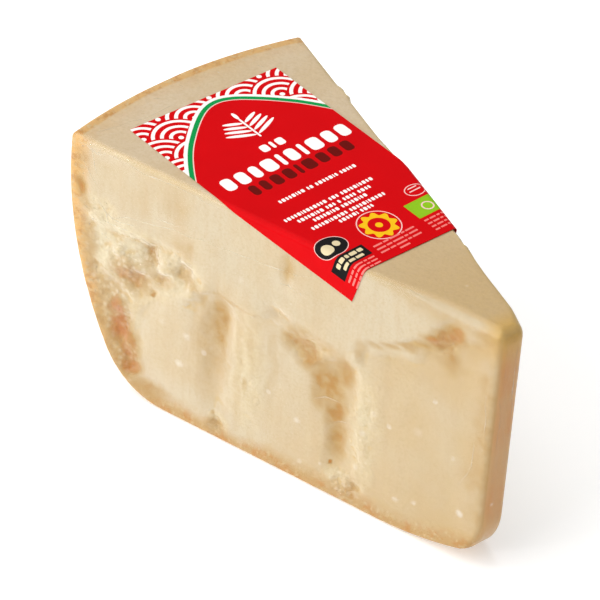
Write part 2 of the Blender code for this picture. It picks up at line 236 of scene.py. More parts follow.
# White spots of crystals, as above.
NEAR_CRYSTALS = [(163, 42, 1.3, 1.2, 0.5), (166, 27, 1.6, 1.1, 0.7), (174.5, 43, 1.3, 1.0, 0.4),
                 (110, 27.5, 1.1, 1.2, 0.9), (33.5, 22.3, 1.2, 1.3, 0.9), (54, 16, 0.8, 0.8, 0.8),
                 (62, 13.5, 1.2, 0.9, 0.6), (68, 47, 0.7, 0.7, 0.9), (39, 47, 0.6, 0.9, 0.5),
                 (48.5, 69, 0.6, 0.7, 0.8), (138, 83, 1.2, 1.2, 0.3), (55, 51, 1.5, 1.6, 0.3),
                 (79, 38, 1.0, 0.9, 0.5), (81, 19, 1.1, 1.0, 0.5), (75, 50, 1.2, 1.2, 0.3),
                 (107, 8, 1.0, 0.8, 0.5)]
FAR_CRYSTALS = [(96, 40, 1.6, 1.6, 0.8), (60, 60, 1.4, 1.4, 0.7), (150, 30, 1.8, 1.5, 0.8),
                (174, 90, 1.5, 1.5, 0.6)]

# Forms and patches end at this many of their half sizes, and fade out over this many.
FADE_END = 1.8
FORM_FADE = 1.4
PATCH_FADE = 1.5


def ease(value):
    """0 below 0, 1 above 1, and smooth between."""
    value = np.clip(value, 0, 1)
    return value * value * (3 - 2 * value)


def rounded(distances, radius):
    """How far a point is outside faces that meet in an edge of this radius; negative inside."""
    over = [distance + radius for distance in distances]
    outside = np.sqrt(sum(np.maximum(value, 0) ** 2 for value in over))
    return np.minimum(np.maximum.reduce(over), 0) + outside - radius


def wheel_distance(radius, height):
    """How far a point is outside the wheel's turned side and its dished face."""
    barrel = np.hypot(radius - BARREL_CENTRE, height - BELLY_HEIGHT) - BARREL_RADIUS
    dish = DISH_DEPTH * (np.maximum(DISH_RADIUS - radius, 0) / DISH_SPAN) ** 2
    foot = np.hypot(radius - FOOT_CENTRE, height - FOOT_RADIUS) - FOOT_RADIUS
    slope = (FOOT_RADIUS - BELLY_HEIGHT) / FOOT_REACH
    in_foot = (radius > FOOT_CENTRE) & (height - FOOT_RADIUS < slope * (radius - FOOT_CENTRE))
    return np.where(in_foot, foot, np.maximum(barrel, dish - height))


def wander(distance, height, length, seed):
    """Smooth noise from -1 to 1 over a split side, with waves of this length."""
    return np.array([noise.noise((d / length, h / length, seed)) for d, h in zip(distance, height)])


def curds(distance, height, length, seed):
    """Rounded curds of about this size, from 1 on top of each down to nearly 0 in the gaps between them."""
    half_width = 0.85
    reaches = [noise.voronoi((d / length, h / length, seed))[0][0] for d, h in zip(distance, height)]
    return 1 - np.minimum(np.array(reaches) / half_width, 1) ** 2


def within(distance, height, patches):
    """How far inside any of these soft-edged patches each point is, from 0 to the patch's strength."""
    share = np.zeros(len(distance))
    for patch_s, patch_h, half_width, half_height, strength in patches:
        spread = np.hypot((distance - patch_s) / half_width, (height - patch_h) / half_height)
        share = np.maximum(share, strength * ease((FADE_END - spread) / PATCH_FADE))
    return share


def walls_depth(distance, height, walls):
    """How deep the cheese lies beside the walls."""
    depth = np.zeros(len(distance))
    for path, amount, left_reach, right_reach in walls:
        nearest = np.full(len(distance), np.inf)
        on_left = np.zeros(len(distance), bool)
        for (start_s, start_h), (end_s, end_h) in zip(path, path[1:]):
            along_s, along_h = end_s - start_s, end_h - start_h
            share = (distance - start_s) * along_s + (height - start_h) * along_h
            share = np.clip(share / (along_s ** 2 + along_h ** 2), 0, 1)
            off_s = distance - start_s - share * along_s
            off_h = height - start_h - share * along_h
            gap = np.hypot(off_s, off_h)
            closer = gap < nearest
            nearest = np.where(closer, gap, nearest)
            on_left = np.where(closer, along_s * off_h - along_h * off_s < 0, on_left)
        reach = np.where(on_left, left_reach, right_reach)
        depth = np.maximum(depth, amount * ease(1 - nearest / reach))
    return depth


def straying(distance, height, amount, seed):
    """Points moved about a little, so that what is placed by them has uneven borders."""
    broad, fine = 11.0, 3.6
    across = wander(distance, height, broad, seed) + 0.4 * wander(distance, height, fine, seed + 1)
    up = wander(distance, height, broad, seed + 2) + 0.4 * wander(distance, height, fine, seed + 3)
    return distance + amount * across, height + amount * up


def split_side(points, lip, forms, walls, crumbs, seed):
    """How deep a split side lies behind its flat cut, and how crumbly it is."""
    distance = np.hypot(points[:, 0], points[:, 1])
    height = points[:, 2]
    edge = np.interp(distance, *np.transpose(lip))
    edge = edge + LIP_WANDER[0] * wander(distance, height, LIP_WANDER[1], seed + 1)
    below_lip = ease((edge - height) / LIP_HEIGHT)
    depth = SPLIT_DEPTH * below_lip
    strayed, risen = straying(distance, height, FORM_STRAY, seed + 4)
    for form_s, form_h, half_width, half_height, lean, amount in forms:
        across, up = strayed - form_s, risen - form_h
        cosine, sine = math.cos(math.radians(lean)), math.sin(math.radians(lean))
        spread = np.hypot((across * cosine + up * sine) / half_width,
                          (up * cosine - across * sine) / half_height)
        depth += amount * ease((FADE_END - spread) / FORM_FADE)
    depth += walls_depth(strayed, risen, walls)
    crumbly = within(strayed, risen, crumbs)
    torn = np.maximum(below_lip * LEAST_TORN, crumbly)
    depth += SLOW_WAVE[0] * below_lip * wander(distance, height, SLOW_WAVE[1], seed)
    for amount, length in TORN_WAVES:
        depth += amount * torn * wander(distance, height, length, seed)
    for amount, length in CURDS:
        depth += crumbly ** 2 * amount * (CURD_LEVEL - curds(strayed, risen, length, seed))
    inside_rind = ease(-wheel_distance(distance, height) / RIND_THICKNESS)
    behind_tip = ease((distance - TIP_DISTANCE) / TIP_MARGIN)
    return depth * inside_rind * behind_tip, torn


def cut_distances(points, near_depth, far_depth):
    """How far points are outside the near side, the far side and the tip's cut."""
    x, y, height = points.T
    roll = TIP_ROLL_DEPTH * (np.maximum(TIP_ROLL_HEIGHT - height, 0) / TIP_ROLL_HEIGHT) ** 2
    return (x * HALF_SINE - y * HALF_COSINE + near_depth, x * HALF_SINE + y * HALF_COSINE + far_depth,
            x + TIP_DISTANCE + roll)


def chunk_distance(points, near_depth, far_depth):
    """How far points are outside the chunk, round the wheel's axis, in millimetres."""
    x, y, height = points.T
    radius = np.hypot(x, y)
    plan = rounded(cut_distances(points, near_depth, far_depth), TIP_EDGE)
    sides = rounded([plan, wheel_distance(radius, height)], SHARP_EDGE)
    near_side = ease(0.5 - y / TIP_DISTANCE)
    softness = near_side * ease((SOFT_FROM - radius) / (SOFT_FROM - SOFT_TO))
    softness = np.maximum(softness, ease((TIP_SOFT_FROM - radius) / (TIP_SOFT_FROM - TIP_SOFT_TO)))
    top_edge = SHARP_EDGE + (CUT_EDGE - SHARP_EDGE) * near_side + (SOFT_EDGE - CUT_EDGE) * softness
    return rounded([sides, height - CHUNK_HEIGHT], top_edge)


def settle(points, near_depth, far_depth):
    """Draws points near the chunk onto its rounded, split surface."""
    probe_length = 0.1
    least_steep = 0.3
    for _step in range(6):
        value = chunk_distance(points, near_depth, far_depth)
        slope = np.empty_like(points)
        for axis in range(3):
            probe = points.copy()
            probe[:, axis] += probe_length
            slope[:, axis] = (chunk_distance(probe, near_depth, far_depth) - value) / probe_length
        steepness = np.maximum((slope ** 2).sum(axis=1), least_steep)
        points = points - slope * (value / steepness)[:, None]
    return points


def take_points(piece):
    """A piece's points in millimetres round the wheel's axis."""
    places = np.empty(len(piece.data.vertices) * 3, dtype=np.float32)
    piece.data.vertices.foreach_get("co", places)
    return (places.reshape(-1, 3).astype(float) - np.array(wheel_axis)) / MM


def give_points(piece, points):
    """Puts a piece's points where these millimetres round the wheel's axis say."""
    places = points * MM + np.array(wheel_axis)
    piece.data.vertices.foreach_set("co", places.astype(np.float32).ravel())
    piece.data.update()


def write_share(piece, name, values):
    """Keeps one number for each point of a piece, for its material to read."""
    attribute = piece.data.attributes.new(name, "FLOAT", "POINT")
    attribute.data.foreach_set("value", values.astype(np.float32))


def evened(piece, points, rounds):
    """Where the points would lie if each were drawn to its neighbours this many times."""
    edges = np.empty(len(piece.data.edges) * 2, dtype=np.int32)
    piece.data.edges.foreach_get("vertices", edges)
    one, other = edges.reshape(-1, 2).T
    count = np.bincount(one, minlength=len(points)) + np.bincount(other, minlength=len(points))
    for _round in range(rounds):
        drawn = np.empty_like(points)
        for axis in range(3):
            total = np.bincount(one, points[other, axis], len(points))
            total += np.bincount(other, points[one, axis], len(points))
            drawn[:, axis] = total / count
        points = 0.5 * points + 0.5 * drawn
    return points


def outward(piece):
    """The direction that each point of a piece faces."""
    normals = np.empty(len(piece.data.vertices) * 3, dtype=np.float32)
    piece.data.vertex_normals.foreach_get("vector", normals)
    return normals.reshape(-1, 3).astype(float)


def wheel_outline():
    """Half the wheel's cross-section: sawn top, barrel, foot and dished face, as (distance, height)."""
    tangent = math.atan2(BELLY_HEIGHT - FOOT_RADIUS, FOOT_REACH)
    barrel_top = math.asin((CHUNK_HEIGHT - BELLY_HEIGHT) / BARREL_RADIUS)
    outline = [(4, CHUNK_HEIGHT)]
    for turn in np.linspace(barrel_top, -tangent, 12):
        outline.append((BARREL_CENTRE + BARREL_RADIUS * math.cos(turn),
                        BELLY_HEIGHT + BARREL_RADIUS * math.sin(turn)))
    for turn in np.linspace(tangent, math.pi / 2, 9)[1:]:
        outline.append((FOOT_CENTRE + FOOT_RADIUS * math.cos(turn),
                        FOOT_RADIUS - FOOT_RADIUS * math.sin(turn)))
    for distance in np.linspace(DISH_RADIUS, 4, 10):
        outline.append((distance, DISH_DEPTH * ((DISH_RADIUS - distance) / DISH_SPAN) ** 2))
    return outline


# The cross-section is drawn as a face and spun through the wedge's angle, and the tip is cut off.
bpy.ops.object.select_all(action="DESELECT")
outline = wheel_outline()
bpy.ops.mesh.primitive_circle_add(vertices=len(outline), radius=1, fill_type="NGON")
cheese = bpy.context.object
cheese.name = "cheese"
cheese.data.name = "cheese"
for vert, (distance, height) in zip(cheese.data.vertices, outline):
    vert.co = (-distance * HALF_COSINE * MM, -distance * HALF_SINE * MM, height * MM)
bpy.ops.object.mode_set(mode="EDIT")
bpy.ops.mesh.select_all(action="SELECT")
bpy.ops.mesh.spin(steps=30, angle=2 * HALF_ANGLE, center=(0, 0, 0), axis=(0, 0, 1))
bpy.ops.mesh.select_all(action="SELECT")
bpy.ops.mesh.bisect(plane_co=(-TIP_DISTANCE * MM, 0, 0), plane_no=(1, 0, 0), use_fill=True, clear_outer=True)
bpy.ops.mesh.select_all(action="SELECT")
bpy.ops.mesh.normals_make_consistent(inside=False)
bpy.ops.transform.translate(value=wheel_axis)
bpy.ops.object.mode_set(mode="OBJECT")

# An even mesh of one-millimetre faces is then drawn onto the torn surface. The last number of each side's
# call picks its noise.
FACE_SIZE = 1.02
BREAK_SOFTENING = 3
cheese.data.remesh_voxel_size = FACE_SIZE * MM
bpy.ops.object.voxel_remesh()
blank = take_points(cheese)
near_depth, near_torn = split_side(blank, NEAR_LIP, NEAR_FORMS, NEAR_WALLS, NEAR_CRUMBS, 3.1)
far_depth, far_torn = split_side(blank, FAR_LIP, FAR_FORMS, FAR_WALLS, FAR_CRUMBS, 8.4)
far_depth = np.maximum(far_depth, -FAR_SWELLING)
surface = settle(blank, near_depth, far_depth)
give_points(cheese, surface)
bpy.ops.object.shade_smooth()
# Torn curd is soft, so its breaks are rounded.
softened = np.minimum(np.maximum(near_torn, far_torn), 1)[:, None]
surface = surface + softened * (evened(cheese, surface, BREAK_SOFTENING) - surface)
give_points(cheese, surface)

# What the material reads: how deep in the wheel each point is, how torn, and how far it lies below the
# points around it, evened out over a broad hollow or over the gap between two curds. A point belongs to a
# side when it is within this skin of it, and to the top likewise.
SIDE_SKIN = 1.2
TOP_SKIN = 0.7
HOLLOW_SPAN = 60
GAP_SPAN = 8
near_gap, far_gap, tip_gap = cut_distances(surface, near_depth, far_depth)
from_axis = np.hypot(surface[:, 0], surface[:, 1])
level = surface[:, 2]
below_top = level < CHUNK_HEIGHT - TOP_SKIN
on_near = (near_gap > -SIDE_SKIN) & below_top
on_far = (far_gap > -SIDE_SKIN) & below_top
hollows = (evened(cheese, surface, HOLLOW_SPAN) - surface) * outward(cheese)
gaps = (evened(cheese, surface, GAP_SPAN) - surface) * outward(cheese)


def on_sides(near_values, far_values):
    """Values that hold on the two split sides, and 0 elsewhere."""
    return np.where(on_near, near_values, np.where(on_far, far_values, 0))


# The rind layer is thinner along the flat face that the wheel lay on.
thinning = 1 + 0.3 * ease((30 - level) / 25)
write_share(cheese, "under_rind", -wheel_distance(from_axis, level) * thinning)
write_share(cheese, "torn", on_sides(near_torn, far_torn))
write_share(cheese, "hollow", hollows.sum(axis=1))
write_share(cheese, "gaps", gaps.sum(axis=1))
stain_and_shade_places = straying(from_axis, level, 2.0, 21.5)
write_share(cheese, "stains_and_shade", on_sides(within(*stain_and_shade_places, NEAR_STAINS_AND_SHADE),
                                        within(*stain_and_shade_places, FAR_STAINS_AND_SHADE)))
crystal_places = straying(from_axis, level, 0.8, 31.5)
write_share(cheese, "crystals", on_sides(within(*crystal_places, NEAR_CRYSTALS),
                                         within(*crystal_places, FAR_CRYSTALS)))
# Where the wheel was cut: below the smooth strip, nearer the tip, on the sawn top, and on the tip's cut,
# which is painted in shade, and at its thin upper corner. They fade in over 1 to 18 mm, or over 110 mm
# towards the tip.
write_share(cheese, "below_strip", on_sides(ease(near_depth / 1.6), ease(far_depth / 1.6)))
write_share(cheese, "towards_tip", ease((150 - from_axis) / 110))
write_share(cheese, "sawn_top", ease((level - CHUNK_HEIGHT + 1.0) / 0.8))
write_share(cheese, "shaded_tip_cut", ease((tip_gap + 1.6) / 1.4))
write_share(cheese, "amber_tip_corner", ease((36 - from_axis) / 12) * ease((level - 94) / 18))


def linear(hex_colour):
    """A colour written as sRGB hex, as the shaders want it."""
    parts = [int(hex_colour[at:at + 2], 16) / 255 for at in (1, 3, 5)]
    return [part / 12.92 if part <= 0.04045 else ((part + 0.055) / 1.055) ** 2.4 for part in parts] + [1]


def add_node(material, kind, inputs, output=None, **settings):
    """Adds a node with its settings, fills or links its inputs, and returns one of its outputs."""
    node = material.node_tree.nodes.new("ShaderNode" + kind)
    for name, value in settings.items():
        setattr(node, name, value)
    shown = [socket for socket in node.inputs if socket.enabled]
    if isinstance(inputs, dict):
        by_name = {socket.name: socket for socket in reversed(shown)}
        pairs = [(by_name[name], value) for name, value in inputs.items()]
    else:
        pairs = zip(shown, inputs)
    for socket, value in pairs:
        if isinstance(value, bpy.types.NodeSocket):
            material.node_tree.links.new(value, socket)
        else:
            socket.default_value = value
    return next(socket for socket in node.outputs if socket.enabled and output in (None, socket.name))


def new_material(name):
    """An empty material, ready for nodes."""
    material = bpy.data.materials.new(name)
    material.use_nodes = True
    material.node_tree.nodes.clear()
    return material


def finish_material(material, shader):
    """Makes this shader what the material shows."""
    output = material.node_tree.nodes.new("ShaderNodeOutputMaterial")
    material.node_tree.links.new(shader, output.inputs["Surface"])


def read_share(material, name):
    """The number that a piece keeps under this name for each of its points."""
    return add_node(material, "Attribute", [], output="Fac", attribute_name=name)


def eased(material, value, start, end, most=1.0):
    """Goes smoothly from 0 where the value is start to most where it is end."""
    return add_node(material, "MapRange", [value, start, end, 0.0, most], interpolation_type="SMOOTHSTEP")


def mixed(material, share, colour, other):
    """A colour with this share of another mixed in. Each is a node's output or a hex colour."""
    ends = [linear(shade) if isinstance(shade, str) else shade for shade in (colour, other)]
    return add_node(material, "Mix", {"Factor": share, "A": ends[0], "B": ends[1]}, data_type="RGBA")


# Aged cow's milk cheese: a pale straw paste that scatters light, so that it looks soft and a little waxy.
# Torn curd is creamier and dull, hollows are amber, and the rind is dry and tan. White specks are crystals.
paste = new_material("aged_hard_cheese")
place = add_node(paste, "TexCoord", [], output="Object")
under_rind = read_share(paste, "under_rind")
torn = read_share(paste, "torn")
hollow = read_share(paste, "hollow")
gap = read_share(paste, "gaps")
stains_and_shade = read_share(paste, "stains_and_shade")
crystals = read_share(paste, "crystals")
below_strip = read_share(paste, "below_strip")
towards_tip = read_share(paste, "towards_tip")
sawn_top = read_share(paste, "sawn_top")
shaded_tip_cut = read_share(paste, "shaded_tip_cut")
amber_tip_corner = read_share(paste, "amber_tip_corner")
# Clouding of the paste, 30 mm across, faint streaks down it, 2.5 mm by 20 mm, and curd grain, 5 mm.
clouds = add_node(paste, "TexNoise", {"Vector": place, "Scale": 33.0, "Detail": 3.0, "Roughness": 0.55})
drawn_out = add_node(paste, "VectorMath", [place, (400.0, 400.0, 50.0)], operation="MULTIPLY")
streaks = add_node(paste, "TexNoise", {"Vector": drawn_out, "Scale": 1.0, "Detail": 3.0, "Roughness": 0.6})
curd = add_node(paste, "TexNoise", {"Vector": place, "Scale": 210.0, "Detail": 4.0, "Roughness": 0.6})
# The paste is yellower towards the wheel's middle, where it stayed moist. Torn curd is creamier. The
# tip's cut is painted a darker tan: painted shade, the warm dim light on a face turned from the key light.
panel_colour = mixed(paste, towards_tip, "#cabea5", "#c1a97f")
colour = mixed(paste, below_strip, "#c8ba9e", panel_colour)
colour = mixed(paste, eased(paste, torn, 0.15, 0.6, 0.8), colour, "#d1c39f")
top_colour = mixed(paste, towards_tip, "#d0bea2", "#c4a879")
colour = mixed(paste, sawn_top, colour, top_colour)
# The tip's cut: painted shade.
colour = mixed(paste, shaded_tip_cut, colour, "#c88b4a")
colour = mixed(paste, eased(paste, clouds, 0.3, 0.7, 0.4), colour, "#c5a97a")
colour = mixed(paste, eased(paste, streaks, 0.35, 0.7, 0.24), colour, "#bfa480")
# The tip's thin upper corner is amber, and every other edge is painted a little yellower than the faces:
# a painted highlight, the warm tint of the light along rounded edges.
tip_share = add_node(paste, "Math", [amber_tip_corner, 0.75], operation="MULTIPLY")
colour = mixed(paste, tip_share, colour, "#cba04c")
colour = mixed(paste, eased(paste, hollow, -0.4, -1.6, 0.35), colour, "#c6ab6c")
# The rind's tan runs into the paste over 10 mm, unevenly. On the sawn top it is a band 4 mm wide.
uneven_depth = add_node(paste, "Math", [clouds, -9.0, 4.5], operation="MULTIPLY_ADD")
depth = add_node(paste, "Math", [under_rind, uneven_depth], operation="ADD")
side_tan = eased(paste, depth, 11.0, 3.0, 0.95)
band_depth = add_node(paste, "Math", [uneven_depth, 0.25, under_rind], operation="MULTIPLY_ADD")
band_edge = eased(paste, band_depth, 5.2, 3.8, 0.7)
band_halo = eased(paste, band_depth, 14.0, 4.0, 0.3)
top_tan = add_node(paste, "Math", [band_edge, band_halo], operation="ADD")
tan_share = add_node(paste, "Mix", {"Factor": sawn_top, "A": side_tan, "B": top_tan}, data_type="FLOAT")
# It is yellower up the side, and darker and greyer on the rounded foot.
up = add_node(paste, "SeparateXYZ", [place], output="Z")
tan = mixed(paste, eased(paste, up, 0.008, 0.035), "#b99662", "#d4a764")
tan = mixed(paste, sawn_top, tan, "#cfa56a")
# The rind layer is blotched with orange brown, 5 mm across, and flecked with pale curd, 2 mm across.
tan = mixed(paste, eased(paste, curd, 0.46, 0.62, 0.8), tan, "#b98343")
flecks = add_node(paste, "TexNoise", {"Vector": place, "Scale": 480.0, "Detail": 3.0, "Roughness": 0.65})
tan = mixed(paste, eased(paste, flecks, 0.5, 0.32, 0.75), tan, "#c9b289")
colour = mixed(paste, tan_share, colour, tan)
# Painted shade: gaps between curds are painted golden, and the deeper a hollow lies below its
# surroundings, the more amber it is painted. The stains and painted shade listed above add to that amber.
colour = mixed(paste, eased(paste, gap, 0.02, 0.25, 0.6), colour, "#c8a768")
hollow_shade = eased(paste, hollow, 0.1, 1.6, 0.35)
stain_and_shade_sum = add_node(paste, "Math", [stains_and_shade, hollow_shade], operation="ADD")
stain_and_shade_rough = add_node(paste, "MapRange", [curd, 0.3, 0.7, 0.65, 1.25])
stain_and_shade = add_node(paste, "Math", [stain_and_shade_sum, stain_and_shade_rough], operation="MULTIPLY")
amber_share = add_node(paste, "MapRange", [stain_and_shade, 0.0, 1.1, 0.0, 1.0])
colour = mixed(paste, amber_share, colour, "#b08c51")
# Where it is crumbly, torn curd breaks into pale granules 2 to 3 mm across.
granule_gap = add_node(paste, "TexVoronoi", {"Vector": place, "Scale": 360.0, "Randomness": 1.0},
                       output="Distance")
most_pale = add_node(paste, "MapRange", [torn, 0.3, 0.9, 0.0, 0.4])
pale_share = add_node(paste, "MapRange", [granule_gap, 0.5, 0.1, 0.0, most_pale])
colour = mixed(paste, pale_share, colour, "#e2d8bf")
# The deepest stains, and the strongest painted shade, are brown.
brown_share = add_node(paste, "MapRange", [stain_and_shade, 0.9, 2.1, 0.0, 1.0])
colour = mixed(paste, brown_share, colour, "#b06917")
# The rind itself: oiled and rubbed for two years, with worn gold and brown patches 40 mm across, rubbing
# lines 1 mm wide round the wheel, and pores 5 mm apart.
crust_share = eased(paste, under_rind, 1.0, 0.2)
wear = add_node(paste, "TexNoise", {"Vector": place, "Scale": 25.0, "Detail": 5.0, "Roughness": 0.62})
crust = mixed(paste, eased(paste, wear, 0.36, 0.64), "#b48a52", "#c7a468")
rubbed = add_node(paste, "VectorMath", [place, (45.0, 45.0, 800.0)], operation="MULTIPLY")
rubbing = add_node(paste, "TexNoise", {"Vector": rubbed, "Scale": 1.0, "Detail": 3.0, "Roughness": 0.6})
crust = mixed(paste, eased(paste, rubbing, 0.5, 0.7, 0.4), crust, "#8f6737")
pore_gap = add_node(paste, "TexVoronoi", {"Vector": place, "Scale": 190.0, "Randomness": 1.0},
                    output="Distance")
pores = eased(paste, pore_gap, 0.12, 0.03, 0.7)
crust = mixed(paste, pores, crust, "#75502a")
crust_cover = add_node(paste, "Math", [crust_share, 0.85], operation="MULTIPLY")
colour = mixed(paste, crust_cover, colour, crust)
# Crystals: soft white specks 1 to 2 mm across, one every 14 mm or so, and a few larger spots.
speck_gap = add_node(paste, "TexVoronoi", {"Vector": place, "Scale": 70.0, "Randomness": 1.0},
                     output="Distance")
speck_size = add_node(paste, "TexNoise", {"Vector": place, "Scale": 45.0, "Detail": 0.0})
speck_edge = add_node(paste, "MapRange", [speck_size, 0.45, 0.7, 0.0, 0.13])
speck_over = add_node(paste, "Math", [speck_edge, speck_gap], operation="SUBTRACT")
speck_share = eased(paste, speck_over, 0.0, 0.06, 0.35)
spot_rough = add_node(paste, "MapRange", [curd, 0.35, 0.65, 0.5, 1.1])
spot_share = add_node(paste, "Math", [crystals, spot_rough], operation="MULTIPLY")
white_share = add_node(paste, "Math", [speck_share, spot_share], operation="MAXIMUM")
colour = mixed(paste, white_share, colour, "#dfd8cb")
# Grain: torn curd is rough at about 2 mm, and the wire's cut is nearly smooth, but both are finely speckled.
grain = add_node(paste, "TexNoise", {"Vector": place, "Scale": 900.0, "Detail": 3.0, "Roughness": 0.6})
most_dark = add_node(paste, "MapRange", [torn, 0.1, 0.8, 0.25, 0.3])
dark_grain = add_node(paste, "MapRange", [grain, 0.55, 0.25, 0.0, most_dark])
colour = mixed(paste, dark_grain, colour, "#a88c60")
granules = add_node(paste, "TexVoronoi", {"Vector": place, "Scale": 480.0, "Smoothness": 0.7,
                                          "Randomness": 1.0}, output="Distance", feature="SMOOTH_F1")
grain_sum = add_node(paste, "Math", [granules, -1.0, grain], operation="MULTIPLY_ADD")
grain_height = add_node(paste, "MapRange", [torn, 0.15, 0.9, 0.00015, 0.0012])
bump = add_node(paste, "Bump", {"Strength": 0.6, "Distance": grain_height, "Height": grain_sum})
crust_marks = add_node(paste, "Math", [rubbing, pores], operation="SUBTRACT")
crust_height = add_node(paste, "Math", [crust_marks, crust_share], operation="MULTIPLY")
bump = add_node(paste, "Bump", {"Strength": 0.6, "Distance": 0.0006, "Height": crust_height, "Normal": bump})
roughness = add_node(paste, "MapRange", [torn, 0.0, 0.8, 0.45, 0.65])
paste_shader = add_node(paste, "BsdfPrincipled", {"Base Color": colour, "Roughness": roughness,
                                                  "Normal": bump, "IOR": 1.45, "Specular IOR Level": 0.2,
                                                  "Subsurface Weight": 0.4,
                                                  "Subsurface Radius": (1.0, 0.92, 0.8),
                                                  "Subsurface Scale": 0.002})
finish_material(paste, paste_shader)
cheese.data.materials.clear()
cheese.data.materials.append(paste)
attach(cheese, "root")
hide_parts("cheese_in_film")

# ---------------------------------------------------------------------------------------------------
# The bag: a clear shrink film drawn tight round the cheese by vacuum. It bridges the small hollows, and
# shows only by its shine, by fine creases and by the folds at the corners.
# ---------------------------------------------------------------------------------------------------
# How far the film lies off the cheese, in millimetres, and how many rounds of evening it takes for it to
# bridge the gaps between crumbs.
FILM_GAP = 0.12
FILM_BRIDGING = 5

bpy.ops.object.select_all(action="DESELECT")
cheese.select_set(True)
bpy.context.view_layer.objects.active = cheese
bpy.ops.object.duplicate()
film = bpy.context.object
film.name = "clear_film"
film.data.name = "clear_film"
bridged = evened(film, surface, FILM_BRIDGING)
facing = outward(film)
lift = np.maximum(((bridged - surface) * facing).sum(axis=1), 0) + FILM_GAP
give_points(film, surface + facing * lift[:, None])

# How wrinkled the film is: it puckers over crumbs, at the corners and beside the creases.
FILM_WRINKLES = [(204, 112, 12, 4, 1.0), (212, 104, 4, 8, 0.8), (198, 82, 10, 5, 1.0), (172, 93, 7, 3, 0.7),
                 (117, 90, 6, 4, 0.8), (120, 74, 8, 4, 0.8), (40, 60, 12, 40, 0.25), (84, 8, 10, 7, 0.8),
                 (184, 10, 16, 8, 0.7)]
near_wrinkles = within(from_axis, level, NEAR_CRUMBS + FILM_WRINKLES)
write_share(film, "wrinkled", on_sides(near_wrinkles, within(from_axis, level, FAR_CRUMBS)))

# Clear polyethylene and nylon film, 0.1 mm thick: no colour of its own, only a bright soft shine, which
# ripples 2 mm across break up.
clear = new_material("clear_vacuum_film")
film_place = add_node(clear, "TexCoord", [], output="Object")
film_ripple = add_node(clear, "TexNoise", {"Vector": film_place, "Scale": 500.0, "Detail": 2.0})
wrinkled = read_share(clear, "wrinkled")
ripple_height = add_node(clear, "MapRange", [wrinkled, 0.0, 1.0, 0.00015, 0.002])
film_bump = add_node(clear, "Bump", {"Strength": 0.5, "Distance": ripple_height, "Height": film_ripple})
shine = add_node(clear, "BsdfGlossy", {"Color": (1, 1, 1, 1), "Roughness": 0.12, "Normal": film_bump})
see_through = add_node(clear, "BsdfTransparent", {"Color": (1, 1, 1, 1)})
# Film that lies flat on the moist cheese mirrors half as much as free film, and puckered film twice as much.
mirror = add_node(clear, "Fresnel", {"IOR": 1.33})
mirror_gain = add_node(clear, "MapRange", [wrinkled, 0.0, 1.0, 0.5, 2.0])
mirror = add_node(clear, "Math", [mirror, mirror_gain], operation="MULTIPLY")
# A sheet has no inside to hold light in, so only its outer face mirrors.
from_inside = add_node(clear, "NewGeometry", [], output="Backfacing")
from_outside = add_node(clear, "Math", [1.0, from_inside], operation="SUBTRACT")
mirror = add_node(clear, "Math", [mirror, from_outside], operation="MULTIPLY", use_clamp=True)
film_surface = add_node(clear, "MixShader", [mirror, see_through, shine])
finish_material(clear, film_surface)
film.data.materials.clear()
film.data.materials.append(clear)

